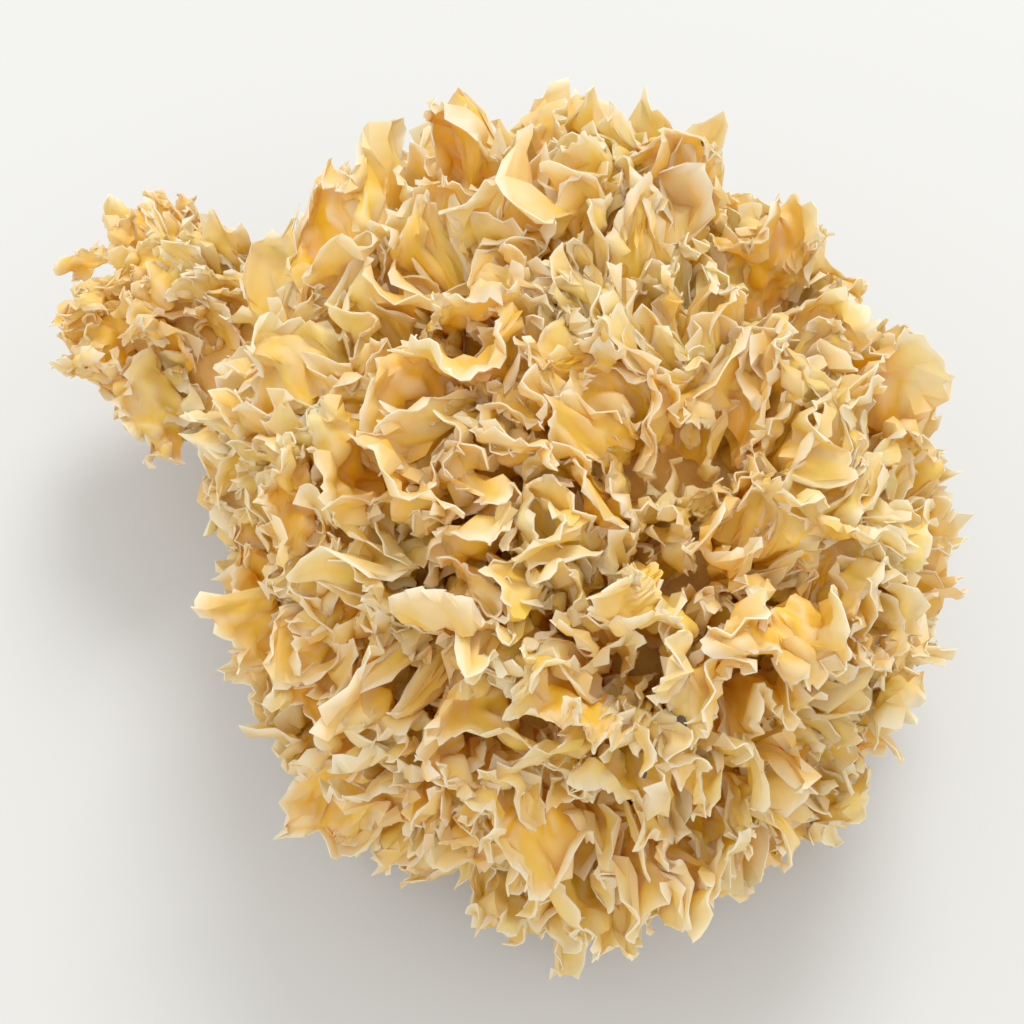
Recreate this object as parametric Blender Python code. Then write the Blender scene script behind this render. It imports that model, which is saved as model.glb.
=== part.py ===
"""A dried snow fungus: one fruit body of thin ruffled fronds that rise from a solid heart.

Metres, +Z up. The origin is the middle of the flat underside of the foot, which stands on the table.
+X is the side away from the small side lobe, and -Y is the side that faces the viewer.
"""

import bmesh
import bpy
import numpy as np
from mathutils import Vector

NODE = "fruit_body"
SEED = 6

# The head is an egg that the frond tips reach: its middle and its half sizes
HEAD_MIDDLE = np.array([0.000, 0.000, 0.033])
HEAD_HALF_SIZE = np.array([0.050, 0.054, 0.044])
# Where the egg swells or is drawn in: azimuth, elevation, share of the reach, width (angles in degrees)
HEAD_SWELLS = (
    (335, 30, 0.15, 30),
    (30, 35, 0.05, 22),
    (50, 20, -0.04, 14),
    (136, 5, -0.08, 18),
    (158, 64, -0.12, 12),
    (205, 8, -0.05, 14),
    (222, 5, -0.11, 28),
    (275, 0, -0.06, 18),
)
# Fronds fan out from a place low in the heart and lie round an axis: its azimuth and elevation in degrees
GROWTH_POINT = np.array([0.002, 0.000, 0.010])
ROSETTE_AZIMUTH, ROSETTE_ELEVATION = 158, 65

# The side lobe that grows out at the back left
LOBE_MIDDLE = np.array([-0.054, 0.039, 0.027])
LOBE_HALF_SIZE = np.array([0.020, 0.018, 0.015])
LOBE_GROWTH_POINT = np.array([-0.040, 0.029, 0.018])
LOBE_AZIMUTH, LOBE_ELEVATION = 300, 60

# The solid heart, the stem of the side lobe, and the foot that the head was cut from the wood at
HEART_MIDDLE = np.array([0.0012, 0.0007, 0.0300])
HEART_HALF_SIZE = np.array([0.034, 0.037, 0.029])
LOBE_HEART_HALF_SIZE = np.array([0.011, 0.010, 0.008])
EGG_CUTS = 2
STEM_START = np.array([-0.020, 0.014, 0.022])
STEM_RADIUS_START, STEM_RADIUS_END, STEM_SIDES = 0.010, 0.007, 9
FOOT_RADIUS_LOW, FOOT_RADIUS_HIGH, FOOT_HEIGHT, FOOT_SIDES = 0.012, 0.017, 0.012, 12

# How many directions the fronds are spread over, how much closer they stand near the axis, and the lowest
# direction that one takes
HEAD_FRONDS, LOBE_FRONDS, LOBE_SPREAD = 94, 15, 19
CROWN_CROWDING = 1.04
LOWEST_DIRECTION = -0.60
# The crown and the skirt of the rosette, as the cosine from its axis, and what their fronds do: crown
# fronds stand up more, skirt fronds arch more and are wider
CROWN, CROWN_UPRIGHT = 0.85, 1.1
SKIRT, SKIRT_ARCH, SKIRT_WIDENING = 0.40, -0.4, 1.15
DIRECTION_SCATTER = 0.06
# Each frond is the least crowded of a few draws: how many, and how near counts as crowded
DRAWS = 16
CROWDED = 0.0030
# A frond's columns, the finer steps that its ruffle is worked out in, its thickness, how long fronds
# are, how far they sink in the heart, and how low they may hang
FROND_COLUMNS, FINE_STEPS = 7, 8
FROND_THICKNESS = 0.0009
FROND_SHORTEST, FROND_LONGEST = 0.014, 0.040
LOBE_FROND_SHORTEST, LOBE_FROND_LONGEST, LOBE_SCALE = 0.010, 0.020, 0.7
ROOT_DEPTH, ROOT_LENGTH = 0.005, 0.0075
LOWEST_TIP, LIFT_LENGTH, TIP_MARGIN = 0.0035, 0.008, 0.002

# The broad sheets that stand out, each with where its margin lies and how it is folded: azimuth,
# elevation, share of the reach, width in mm, turn about its own length in degrees, lean in degrees
# (below 0 it leans away from the axis), number of waves, how far they swing, where they start
BROAD_SHEETS = (
    (150, 36, 1.03, 25, -25, -75, 1.6, 0.8, 0.10),
    (184, 40, 1.02, 16, 15, -70, 1.0, 0.9, 0.70),
    (112, 70, 1.00, 20, 20, 60, 1.3, 0.9, 0.25),
    (300, 70, 1.02, 20, -10, 55, 1.8, 0.9, 0.50),
    (228, 12, 1.00, 24, 10, -20, 1.5, 0.8, 0.00),
    (121, 43, 1.02, 22, 15, -70, 1.4, 0.9, 0.40),
    (200, 32, 1.01, 20, -15, -60, 1.3, 0.9, 0.60),
    (60, 86, 0.97, 20, 70, 45, 1.0, 1.3, 0.25),
    (258, 36, 1.00, 21, 0, -55, 1.0, 1.2, 0.75),
    (98, 46, 1.00, 18, -20, -65, 1.6, 1.1, 0.15),
    (46, 46, 1.03, 20, 0, -25, 2.0, 1.3, 0.35),
    (168, 51, 1.00, 17, 0, -75, 1.0, 1.2, 0.25),
    (208, 72, 0.98, 18, 40, 30, 1.0, 1.3, 0.30),
    (213, 51, 1.00, 19, -30, -45, 1.1, 1.4, 0.80),
    (22, 50, 1.03, 22, 5, -12, 1.2, 0.7, 0.10),
    (346, 44, 1.03, 22, 0, -8, 1.6, 0.9, 0.45),
    (20, 68, 0.98, 18, 10, 5, 1.2, 0.8, 0.55),
)
SHEET_CLEARANCE = 0.0055

# Gentle waves through space that crumple the fronds: how many, the longest, and how far
CRUMPLE_COUNT, CRUMPLE_LONGEST, CRUMPLE_AMOUNT = 14, 0.034, 0.0009

PARCHMENT = (0.80, 0.55, 0.22, 1.0)
PARCHMENT_ROUGHNESS = 0.55


def unit(vectors):
    return vectors / np.linalg.norm(vectors, axis=-1, keepdims=True)


def heading(azimuth, elevation):
    """The direction at azimuth (0 is +Y, 90 is +X) and elevation, in degrees."""
    a, e = np.radians(azimuth), np.radians(elevation)
    return np.stack([np.sin(a) * np.cos(e), np.cos(a) * np.cos(e), np.sin(e)], -1)


def egg_reach(directions, half_size):
    """How far an egg's surface is from its middle."""
    return 1 / np.sqrt(((directions / half_size) ** 2).sum(-1))


def head_reach(directions):
    """How far the head reaches from its middle: an egg with soft swells."""
    swell = np.ones(len(directions))
    for azimuth, elevation, share, width in HEAD_SWELLS:
        off_centre = 1 - directions @ heading(azimuth, elevation)
        swell += share * np.exp(-off_centre / (1 - np.cos(np.radians(width))))
    return egg_reach(directions, HEAD_HALF_SIZE) * swell


def golden_spiral(count, axis, crowding=1.0):
    """Directions spread evenly from axis down, or more of them near axis where crowding is above 1."""
    step = np.arange(count) + 0.5
    z = 1 - 2 * (step / count) ** crowding
    ring = np.sqrt(1 - z * z)
    turn = step * np.pi * (3 - np.sqrt(5))
    side = unit(np.cross([0, 1, 0], axis))
    frame = np.stack([side, np.cross(axis, side), axis])
    return np.stack([ring * np.cos(turn), ring * np.sin(turn), z], -1) @ frame


def way_to_egg(points, outward, middle, half_size):
    """How far back from each point, against outward, an egg's surface or its nearest place lies."""
    start, step = (points - middle) / half_size, -outward / half_size
    a = (step * step).sum(-1)
    b = (start * step).sum(-1)
    c = (start * start).sum(-1) - 1
    return (-b - np.sqrt(np.maximum(b * b - a * c, 0))) / a


def strip_bend(along, first, second):
    """The centre line of a strip whose slope at t is first * t + second * t**2, for a strip of length 1."""
    places = 0.5 + 0.5 * np.array([-0.9062, -0.5385, 0.0, 0.5385, 0.9062])
    weights = 0.5 * np.array([0.2369, 0.4786, 0.5689, 0.4786, 0.2369])
    sideways, onward = 0, 0
    for place, weight in zip(places, weights):
        slope = first * along * place + second * (along * place) ** 2
        sideways = sideways + weight * np.sin(slope)
        onward = onward + weight * np.cos(slope)
    return along * sideways, along * onward


def turned_across(outward, axis, turn):
    """Each frond's widthwise direction: round the axis, then turned about the frond's own length."""
    across = unit(np.cross(axis, outward))
    return across * np.cos(turn)[:, None] + np.cross(outward, across) * np.sin(turn)[:, None]


def frond_table(tips, growth, axis, scale, random):
    """The shape values of the fronds that end at tips, one array per value."""
    count = len(tips)
    tips[:, 2] = np.maximum(tips[:, 2], LOWEST_TIP + TIP_MARGIN)
    outward = unit(tips - growth + random.normal(size=(count, 3)) * 0.004 * scale)
    return {
        "tip": tips,
        "outward": outward,
        "across": turned_across(outward, axis, random.normal(size=count) * 0.5),
        "root_width": random.uniform(0.004, 0.007, count) * scale,
        "half_angle": random.uniform(0.42, 0.60, count),
        "waves": random.uniform(1.2, 2.0, count),
        "phase": random.uniform(0, 1, count),
        "fold": random.uniform(0.9, 1.5, count),
        "notch": random.uniform(0.10, 0.28, count),
        "notches": random.uniform(1.2, 2.6, count),
        "notch_phase": random.uniform(0, 1, count),
        "first_bend": random.normal(size=count) * 0.25,
        "second_bend": -random.uniform(0.1, 1.7, count),
        "curl": random.normal(size=count) * 0.45,
        "curl_phase": random.uniform(0, 1, count),
    }


def head_frond_heights(table):
    """Fronds of the head are long enough to reach into the heart."""
    way = way_to_egg(table["tip"], table["outward"], HEART_MIDDLE, HEART_HALF_SIZE)
    return np.clip(way + ROOT_DEPTH, FROND_SHORTEST, FROND_LONGEST)


def broad_sheets(axis, random):
    """The table of the sheets that are placed by hand."""
    values = np.array(BROAD_SHEETS, float).T
    azimuth, elevation, share, width, turn, lean, waves, fold, phase = values
    directions = heading(azimuth, elevation)
    tips = HEAD_MIDDLE + directions * (head_reach(directions) * share)[:, None]
    table = frond_table(tips, GROWTH_POINT, axis, 1.0, random)
    table["outward"] = unit(tips - GROWTH_POINT)
    table["across"] = turned_across(table["outward"], axis, np.radians(turn))
    table["height"] = head_frond_heights(table)
    table["half_angle"] = width / 2000 / (table["root_width"] + table["height"])
    table["first_bend"] = 0.25 * np.radians(lean)
    table["second_bend"] = 0.75 * np.radians(lean)
    table["curl"] *= 0.3
    table.update(waves=waves, fold=fold, phase=phase)
    return table


def head_fronds(broad, axis, random):
    """Fronds spread evenly over the head where the broad sheets leave room, each drawn a few times."""
    directions = golden_spiral(HEAD_FRONDS, axis, CROWN_CROWDING)
    directions = unit(directions + random.normal(size=directions.shape) * DIRECTION_SCATTER)
    tips = HEAD_MIDDLE + directions * head_reach(directions)[:, None]
    between = np.linalg.norm(tips[:, None] - broad["tip"], axis=-1).min(1)
    directions = directions[(directions[:, 2] > LOWEST_DIRECTION) & (between > SHEET_CLEARANCE)]
    directions = np.tile(directions, (DRAWS, 1))
    reach = head_reach(directions) * random.uniform(0.93, 1.02, len(directions))
    table = frond_table(HEAD_MIDDLE + directions * reach[:, None], GROWTH_POINT, axis, 1.0, random)
    table["height"] = head_frond_heights(table)
    towards_axis = directions @ axis
    table["second_bend"] += np.where(towards_axis > CROWN, CROWN_UPRIGHT, 0.0)
    table["second_bend"] += np.where(towards_axis < SKIRT, SKIRT_ARCH, 0.0)
    table["half_angle"] *= np.where(towards_axis < SKIRT, SKIRT_WIDENING, 1.0)
    return table


def lobe_fronds(random):
    """Smaller fronds over the outer side of the side lobe, each drawn a few times."""
    directions = golden_spiral(LOBE_SPREAD, unit(LOBE_MIDDLE - GROWTH_POINT))[:LOBE_FRONDS]
    directions = np.tile(directions, (DRAWS, 1))
    tips = LOBE_MIDDLE + directions * egg_reach(directions, LOBE_HALF_SIZE)[:, None]
    table = frond_table(tips, LOBE_GROWTH_POINT, heading(LOBE_AZIMUTH, LOBE_ELEVATION), LOBE_SCALE, random)
    way = way_to_egg(table["tip"], table["outward"], LOBE_MIDDLE, LOBE_HEART_HALF_SIZE)
    table["height"] = np.clip(way + ROOT_DEPTH, LOBE_FROND_SHORTEST, LOBE_FROND_LONGEST)
    return table


def run_along(slopes):
    """The running total of slopes across a frond, read at its columns and centred."""
    steps = (slopes[..., 1:] + slopes[..., :-1]) / 2 / (FROND_COLUMNS * FINE_STEPS)
    start = np.zeros(steps.shape[:-1] + (1,))
    total = np.concatenate([start, np.cumsum(steps, -1)], -1)[..., ::FINE_STEPS]
    return total - total.mean(-1, keepdims=True)


def ruffle(value, v, u):
    """How far each point lies across its frond and off it, for a frond of width 1.

    The cross-line's slope swings as a sine along the frond, and more the nearer the margin.
    """
    swing = value["fold"] * v**1.3 * np.sin(2 * np.pi * (value["waves"] * u + value["phase"]))
    across, off = run_along(np.cos(swing)), run_along(np.sin(swing))
    columns = u[..., ::FINE_STEPS] - 0.5
    drift = (off * columns).sum(-1, keepdims=True) / (columns**2).sum()
    width = across[..., -1:] - across[..., :1]
    return across / width, (off - drift * columns) / width


def frond_outline(value, v, u):
    """How much of its length a frond has at each point: round corners, and a few wide notches."""
    corners = 0.35 + 0.65 * np.sqrt(1 - np.abs(2 * u - 1) ** 3)
    wave = np.sin(2 * np.pi * (value["notches"] * u + value["notch_phase"]))
    notches = 1 - value["notch"] * (0.5 + 0.5 * wave) * v**2
    return v * notches * (1 + v * (corners - 1))


def frond_grid(table):
    """The middle surface of every frond, as points [frond, row, column, xyz].

    A frond is a ruffled fan. It is bent over lengthwise, some stretches more than others, and
    turned back by the angle of its chord, so that its margin stays at its tip's place.
    """
    value = {name: column[:, None, None] for name, column in table.items() if column.ndim == 1}
    start = ROOT_LENGTH / value["height"]
    v = np.concatenate([0 * start, start, (1 + start) / 2, np.ones_like(start)], 1)
    u = np.linspace(0, 1, FROND_COLUMNS * FINE_STEPS + 1)[None, None, :]
    across, off = ruffle(value, v, u)
    u = u[..., ::FINE_STEPS]
    height, spread = value["height"], 2 * value["half_angle"]
    radius = value["root_width"] + height * frond_outline(value, v, u)
    x = radius * np.sin(spread * across)
    y = radius * spread * off
    t = (radius - value["root_width"]) * np.cos(spread * across) / height
    curl = value["curl"] * np.sin(2 * np.pi * (0.8 * u + value["curl_phase"]))
    first, second = value["first_bend"], value["second_bend"] + curl
    slope = first * t + second * t * t
    sideways, onward = strip_bend(t, first, second)
    y, z = height * sideways + y * np.cos(slope), height * onward - y * np.sin(slope)
    tip_sideways, tip_onward = strip_bend(np.ones_like(height), first, value["second_bend"])
    chord = 0.8 * np.arctan2(tip_sideways, tip_onward)
    y, z = y * np.cos(chord) - z * np.sin(chord), y * np.sin(chord) + z * np.cos(chord)
    outward, across = table["outward"], table["across"]
    root = table["tip"] - outward * table["height"][:, None]
    frames = np.stack([across, np.cross(outward, across), outward], 1)
    return root[:, None, None, :] + np.einsum("frcl,fld->frcd", np.stack([x, y, z], -1), frames)


def crumple_waves(random):
    """Gentle waves through space: their directions and lengths, their starts, and how far they shift."""
    shape = (CRUMPLE_COUNT, 3)
    lengths = random.uniform(CRUMPLE_LONGEST / 2, CRUMPLE_LONGEST, CRUMPLE_COUNT)
    ways = unit(random.normal(size=shape)) * (2 * np.pi / lengths)[:, None]
    starts = random.uniform(0, 2 * np.pi, CRUMPLE_COUNT)
    return ways.T, starts, unit(random.normal(size=shape)) * CRUMPLE_AMOUNT


def crumpled(points, crumple):
    """Points shifted by the sum of the waves, so that neighbours move together."""
    ways, starts, shifts = crumple
    return points + np.sin(points @ ways + starts) @ shifts


def lifted(points):
    """Points kept off the table: those that would be too low are eased up to just above it."""
    z = points[..., 2]
    eased = LOWEST_TIP * np.exp(np.minimum(z - LOWEST_TIP, 0) / LIFT_LENGTH)
    return np.concatenate([points[..., :2], np.maximum(z, eased)[..., None]], -1)


def upper_points(grids):
    """The points of each frond's upper half, as [frond, point, xyz]."""
    rows = np.stack([grids[:, -2], (grids[:, -2] + grids[:, -1]) / 2, grids[:, -1]], 1)
    return rows.reshape(len(grids), -1, 3)


def least_crowded(grids, taken):
    """For each frond the draw whose upper half comes least near the fronds chosen before it."""
    count = len(grids) // DRAWS
    points = upper_points(grids)
    taken = list(upper_points(taken))
    chosen = []
    for frond in range(count):
        near = np.concatenate(taken)
        crowding = []
        for draw in points[frond::count]:
            squares = (draw**2).sum(-1)[:, None] + (near**2).sum(-1) - 2 * draw @ near.T
            crowding.append(np.exp(-squares / CROWDED**2).sum())
        best = frond + count * int(np.argmin(crowding))
        taken.append(points[best])
        chosen.append(best)
    return chosen


def all_grids(random):
    """The crumpled middle surfaces of all fronds: the broad sheets, the head's and the side lobe's."""
    axis = heading(ROSETTE_AZIMUTH, ROSETTE_ELEVATION)
    crumple = crumple_waves(random)
    broad = broad_sheets(axis, random)
    grids = crumpled(frond_grid(broad), crumple)
    for table in (head_fronds(broad, axis, random), lobe_fronds(random)):
        draws = crumpled(frond_grid(table), crumple)
        grids = np.concatenate([grids, draws[least_crowded(draws, grids)]])
    return lifted(grids)


def linked(name, mesh, collection):
    made = bpy.data.objects.new(name, mesh)
    collection.objects.link(made)
    return made


def triangles_between(low, high):
    """Triangles that join a row of points to the row beyond it, which has as many points or more."""
    step = (len(high) - 1) // (len(low) - 1)
    triangles = []
    for column in range(len(low) - 1):
        start = column * step
        middle = start + (step + 1) // 2
        triangles += [(low[column], high[i], high[i + 1]) for i in range(start, middle)]
        triangles.append((low[column], high[middle], low[column + 1]))
        triangles += [(low[column + 1], high[i], high[i + 1]) for i in range(middle, start + step)]
    return triangles


def frond_mesh(name, grid):
    """A closed thin blade about the grid, split into triangles alike on both faces.

    Its two lowest rows, which are sunk in the heart, have only their end points.
    """
    normals = unit(np.cross(np.gradient(grid, axis=0), np.gradient(grid, axis=1)))
    front, back = grid + normals * FROND_THICKNESS / 2, grid - normals * FROND_THICKNESS / 2
    used, rows = [], []
    for row in range(len(grid)):
        columns = list(range(grid.shape[1])) if row > 1 else [0, grid.shape[1] - 1]
        rows.append(list(range(len(used), len(used) + len(columns))))
        used += [(row, column) for column in columns]
    front_faces = [face for low, high in zip(rows, rows[1:]) for face in triangles_between(low, high)]
    under = len(used)
    back_faces = [(c + under, b + under, a + under) for a, b, c in front_faces]
    rim = rows[0] + [row[-1] for row in rows[1:]] + rows[-1][-2::-1] + [row[0] for row in rows[-2:0:-1]]
    rim_faces = []
    for here, onward in zip(rim, rim[1:] + rim[:1]):
        rim_faces += [(here, onward, onward + under), (here, onward + under, here + under)]
    points = [side[place] for side in (front, back) for place in used]
    mesh = bpy.data.meshes.new(name)
    mesh.from_pydata(points, [], front_faces + back_faces + rim_faces)
    return mesh


def egg_mesh(name, middle, half_size):
    """A solid egg."""
    egg = bmesh.new()
    bmesh.ops.create_icosphere(egg, subdivisions=EGG_CUTS, radius=1)
    bmesh.ops.scale(egg, vec=half_size, verts=egg.verts)
    bmesh.ops.translate(egg, vec=middle, verts=egg.verts)
    mesh = bpy.data.meshes.new(name)
    egg.to_mesh(mesh)
    egg.free()
    return mesh


def bar_mesh(name, start, end, start_radius, end_radius, sides):
    """A tapered round bar from start to end, with flat ends."""
    start, end = Vector(start), Vector(end)
    bar = bmesh.new()
    length = (end - start).length
    bmesh.ops.create_cone(
        bar, cap_ends=True, segments=sides, radius1=start_radius, radius2=end_radius, depth=length
    )
    bmesh.ops.rotate(bar, matrix=(end - start).to_track_quat("Z", "Y").to_matrix(), verts=bar.verts)
    bmesh.ops.translate(bar, vec=(start + end) / 2, verts=bar.verts)
    mesh = bpy.data.meshes.new(name)
    bar.to_mesh(mesh)
    bar.free()
    return mesh


def joined(body, others):
    """The body fused with everything in the others collection."""
    union = body.modifiers.new("union", "BOOLEAN")
    union.operation = "UNION"
    union.operand_type = "COLLECTION"
    union.collection = others
    union.solver = "MANIFOLD"
    fused = bpy.data.meshes.new_from_object(body.evaluated_get(bpy.context.evaluated_depsgraph_get()))
    body.modifiers.remove(union)
    body.data = fused
    for other in list(others.objects):
        bpy.data.objects.remove(other)
    bpy.data.collections.remove(others)


def keep_largest_shell(mesh):
    """Drops loose scraps and the walls of sealed hollows, which leaves one solid body."""
    shape = bmesh.new()
    shape.from_mesh(mesh)
    bmesh.ops.triangulate(shape, faces=shape.faces)
    shells, seen = [], set()
    for first in shape.faces:
        if first in seen:
            continue
        shell, waiting = set(), [first]
        while waiting:
            face = waiting.pop()
            if face not in shell:
                shell.add(face)
                waiting.extend(beside for edge in face.edges for beside in edge.link_faces)
        seen |= shell
        shells.append(shell)
    largest = max(shells, key=len)
    bmesh.ops.delete(shape, geom=[face for face in shape.faces if face not in largest], context="FACES")
    shape.to_mesh(mesh)
    shape.free()


def parchment():
    """Dried translucent parchment-like tissue."""
    material = bpy.data.materials.new("dried_tissue")
    material.use_nodes = True
    surface = material.node_tree.nodes["Principled BSDF"]
    surface.inputs["Base Color"].default_value = PARCHMENT
    surface.inputs["Roughness"].default_value = PARCHMENT_ROUGHNESS
    surface.inputs["Metallic"].default_value = 0.0
    return material


def fruit_body():
    grids = all_grids(np.random.default_rng(SEED))
    scene = bpy.context.scene.collection
    others = bpy.data.collections.new("others")
    scene.children.link(others)
    for number, grid in enumerate(grids):
        name = f"frond_{number:03d}"
        linked(name, frond_mesh(name, grid), others)
    foot = bar_mesh("foot", (0, 0, 0), (0, 0, FOOT_HEIGHT), FOOT_RADIUS_LOW, FOOT_RADIUS_HIGH, FOOT_SIDES)
    linked("foot", foot, others)
    stem = bar_mesh("stem", STEM_START, LOBE_MIDDLE, STEM_RADIUS_START, STEM_RADIUS_END, STEM_SIDES)
    linked("stem", stem, others)
    linked("lobe_heart", egg_mesh("lobe_heart", LOBE_MIDDLE, LOBE_HEART_HALF_SIZE), others)
    body = linked(NODE, egg_mesh(NODE, HEART_MIDDLE, HEART_HALF_SIZE), scene)
    joined(body, others)
    keep_largest_shell(body.data)
    body.data.materials.clear()
    body.data.materials.append(parchment())


def main():
    for old in list(bpy.data.objects):
        bpy.data.objects.remove(old)
    fruit_body()


main()
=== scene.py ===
import math

import bpy
import numpy as np
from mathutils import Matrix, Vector


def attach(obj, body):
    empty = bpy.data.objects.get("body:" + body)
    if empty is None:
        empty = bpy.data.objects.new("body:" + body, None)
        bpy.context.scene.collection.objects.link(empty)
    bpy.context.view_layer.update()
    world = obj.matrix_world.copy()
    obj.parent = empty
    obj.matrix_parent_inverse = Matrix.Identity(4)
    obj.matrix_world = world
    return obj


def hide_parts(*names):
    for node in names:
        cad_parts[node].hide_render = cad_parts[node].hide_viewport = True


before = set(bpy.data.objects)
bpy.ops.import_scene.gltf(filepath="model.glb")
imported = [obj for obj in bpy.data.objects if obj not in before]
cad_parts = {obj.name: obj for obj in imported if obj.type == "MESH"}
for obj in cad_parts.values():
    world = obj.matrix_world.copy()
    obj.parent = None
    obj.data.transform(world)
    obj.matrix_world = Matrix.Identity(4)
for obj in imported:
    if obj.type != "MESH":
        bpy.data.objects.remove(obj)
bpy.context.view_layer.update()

# A dried snow fungus. Thin waxy fronds fan out of a solid heart, and their margins curl and crinkle.
# Metres, +Z up, -Y towards the viewer. Azimuth 0 is +Y and 90 is +X, and angles are in degrees.

headShape = {
    "middle": (0.000, 0.000, 0.033),
    "halfSize": (0.050, 0.054, 0.044),
    # azimuth, elevation, share of the reach, width
    "swells": (
        (335, 30, 0.15, 30),
        (30, 35, 0.05, 22),
        (50, 20, -0.04, 14),
        (136, 5, -0.08, 18),
        (158, 64, -0.12, 12),
        (205, 8, -0.05, 14),
        (222, 5, -0.11, 28),
        (275, 0, -0.06, 18),
    ),
    "growthPoint": (0.002, 0.000, 0.010),
    "rosette": (158, 65),  # azimuth and elevation of the axis that the fronds lie round
    "heartMiddle": (0.0012, 0.0007, 0.0300),
    "heartHalfSize": (0.034, 0.037, 0.029),
}

lobeShape = {
    "middle": (-0.054, 0.039, 0.027),
    "halfSize": (0.020, 0.018, 0.015),
    "growthPoint": (-0.040, 0.029, 0.018),
    "rosette": (300, 60),
    "heartHalfSize": (0.011, 0.010, 0.008),
    "stemStart": (-0.020, 0.014, 0.022),
    "stemRadii": (0.010, 0.007),
}

# The foot: its radii and height, at what shares of its height its rings lie, by what share the lowest
# ring is drawn in, how many bulges go round it, and how high they are as a share of the radius
footShape = {
    "radiusLow": 0.012,
    "radiusHigh": 0.017,
    "height": 0.012,
    "rings": (0.0, 0.04, 0.3, 0.6, 1.0),
    "drawnIn": 0.03,
    "bulges": 5,
    "bulgeHeight": 0.03,
}

# How the larger fronds are spread, and how each is chosen from a few draws. lowest is the least z of a
# direction, and crown and skirt are the cosines of its angle from the rosette's axis
frondSpread = {
    "seed": 6,
    "headCount": 94,
    "lobeCount": 15,
    "lobeSpread": 19,
    "crowding": 1.04,
    "lowest": -0.60,
    "scatter": 0.06,
    "reach": (0.93, 1.02),
    "crown": 0.85,
    "crownUpright": 1.1,
    "skirt": 0.40,
    "skirtArch": -0.4,
    "skirtWidening": 1.15,
    "clearance": 0.0055,
    "draws": 16,
    "crowded": 0.0030,
    "columns": 7,
    "fineSteps": 8,
    "shortest": 0.014,
    "longest": 0.040,
    "lobeShortest": 0.010,
    "lobeLongest": 0.020,
    "lobeScale": 0.7,
    "rootDepth": 0.005,
    "rootLength": 0.0075,
    "lowestTip": 0.0035,
    "liftLength": 0.008,
    "tipMargin": 0.002,
    "aim": 0.004,
    "turn": 0.5,
    "broadBends": (0.25, 0.75),
    "broadCurl": 0.3,
}

# What each frond's other values are drawn from, in this order: the least and the most of an even draw,
# or the width of a bell round 0
frondRanges = {
    "rootWidth": (0.004, 0.007),
    "halfAngle": (0.42, 0.60),
    "waves": (1.2, 2.0),
    "phase": (0, 1),
    "fold": (0.9, 1.5),
    "notch": (0.10, 0.28),
    "notches": (1.2, 2.6),
    "notchPhase": (0, 1),
    "firstBend": 0.25,
    "secondBend": (0.1, 1.7),
    "curl": 0.45,
    "curlPhase": (0, 1),
}

# The broad sheets that stand out. Each: azimuth, elevation, share of the reach, width in mm, turn about
# its length, lean (below 0 away from the axis), number of waves, how far they swing, where they start
broadSheets = (
    (150, 36, 1.03, 25, -25, -75, 1.6, 0.8, 0.10),
    (184, 40, 1.02, 16, 15, -70, 1.0, 0.9, 0.70),
    (112, 70, 1.00, 20, 20, 60, 1.3, 0.9, 0.25),
    (300, 70, 1.02, 20, -10, 55, 1.8, 0.9, 0.50),
    (228, 12, 1.00, 24, 10, -20, 1.5, 0.8, 0.00),
    (121, 43, 1.02, 22, 15, -70, 1.4, 0.9, 0.40),
    (200, 32, 1.01, 20, -15, -60, 1.3, 0.9, 0.60),
    (60, 86, 0.97, 20, 70, 45, 1.0, 1.3, 0.25),
    (258, 36, 1.00, 21, 0, -55, 1.0, 1.2, 0.75),
    (98, 46, 1.00, 18, -20, -65, 1.6, 1.1, 0.15),
    (46, 46, 1.03, 20, 0, -25, 2.0, 1.3, 0.35),
    (168, 51, 1.00, 17, 0, -75, 1.0, 1.2, 0.25),
    (208, 72, 0.98, 18, 40, 30, 1.0, 1.3, 0.30),
    (213, 51, 1.00, 19, -30, -45, 1.1, 1.4, 0.80),
    (22, 50, 1.03, 22, 5, -12, 1.2, 0.7, 0.10),
    (346, 44, 1.03, 22, 0, -8, 1.6, 0.9, 0.45),
    (20, 68, 0.98, 18, 10, 5, 1.2, 0.8, 0.55),
)

# What each kind of frond is made of: the share of its length below which it is hidden and left out, rows
# from there to the margin, columns across (the margin itself has twice as many), thickness, and how
# strong its middling and small curls are. For the frills also how many there are and how they are
# spread: reaches are shares of the body's reach, and the stem's are metres from its middle line
broadLook = {"start": 0, "rows": 18, "columns": 56, "thickness": 0.00026, "curls": (1.2, 1.0)}
headLook = {"start": 0, "rows": 13, "columns": 44, "thickness": 0.00025, "curls": (1.1, 0.9)}
lobeLook = {"start": 0, "rows": 11, "columns": 36, "thickness": 0.00024, "curls": (0.9, 0.6)}
frillLook = {
    "start": 0.38,
    "rows": 7,
    "columns": 24,
    "thickness": 0.00022,
    "curls": (0.9, 0.7),
    "seed": 2,
    "headCount": 760,
    "headLowest": -0.62,
    "headReach": (0.82, 1.00),
    "headSwells": headShape["swells"] + ((286, -8, 0.14, 15), (352, 42, 0.07, 24)),
    "headHalfAngle": (0.15, 0.36),
    "headLength": (0.010, 0.030),
    "lobeCount": 100,
    "lobeReach": (0.72, 1.00),
    "lobeHalfAngle": (0.22, 0.42),
    "lobeLength": (0.007, 0.014),
    "stemCount": 22,
    "stemReach": (0.0125, 0.0165),
    "stemFrom": 0.25,
    "stemSpan": 0.6,
    "stemLean": 0.35,
    "scatter": 0.10,
    "scale": 0.8,
    "sideScale": 0.5,
}

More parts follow.
